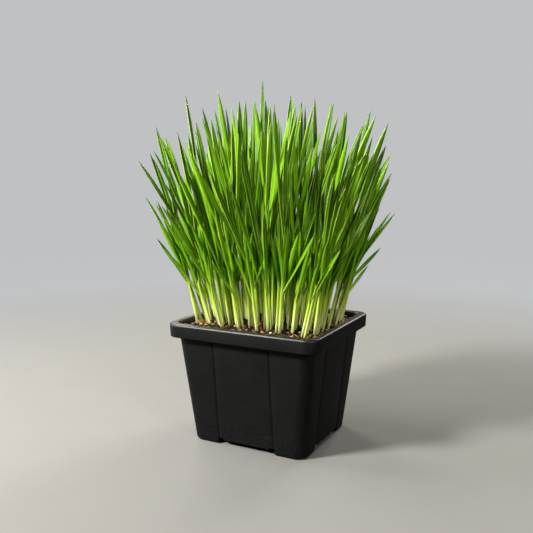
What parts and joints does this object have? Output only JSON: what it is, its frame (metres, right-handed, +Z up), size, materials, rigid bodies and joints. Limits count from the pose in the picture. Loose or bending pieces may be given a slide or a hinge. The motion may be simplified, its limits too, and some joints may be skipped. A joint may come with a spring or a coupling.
{
  "type": "potted cat grass",
  "caption": "Dense young cat grass fanning out of dark growing mix in a tapered rectangular black nursery pot with a deep rim band and four corner feet.",
  "frame": {"origin": "on the ground, under the middle of the pot", "axes": "+Z up, +X along the pot's longer rim side, -Y towards the longer side that the picture shows on the left"},
  "size_m": [0.168, 0.156, 0.245],
  "materials": {
    "pot": "satin black, fine moulded grain",
    "soil": "moist dark growing mix with tan and orange chips",
    "grass": "fresh green blades, pale at the foot, with fine veins and a soft sheen"
  },
  "bodies": {
    "root": {"pot": "pot", "soil": "soil", "grass_bunch_01": "grass", "grass_bunch_02": "grass", "grass_bunch_03": "grass", "grass_bunch_04": "grass", "grass_bunch_05": "grass", "grass_bunch_06": "grass", "grass_bunch_07": "grass", "grass_bunch_08": "grass", "grass_bunch_09": "grass", "grass_bunch_10": "grass", "grass_bunch_11": "grass", "grass_bunch_12": "grass", "grass_bunch_13": "grass", "grass_bunch_14": "grass", "grass_bunch_15": "grass", "grass_bunch_16": "grass", "grass_bunch_17": "grass", "grass_bunch_18": "grass", "grass_bunch_19": "grass", "grass_bunch_20": "grass", "grass_bunch_21": "grass", "grass_bunch_22": "grass", "grass_bunch_23": "grass", "grass_bunch_24": "grass", "grass_bunch_25": "grass", "grass_bunch_26": "grass", "grass_bunch_27": "grass", "grass_bunch_28": "grass", "grass_bunch_29": "grass", "grass_bunch_30": "grass"}
  },
  "joints": []
}
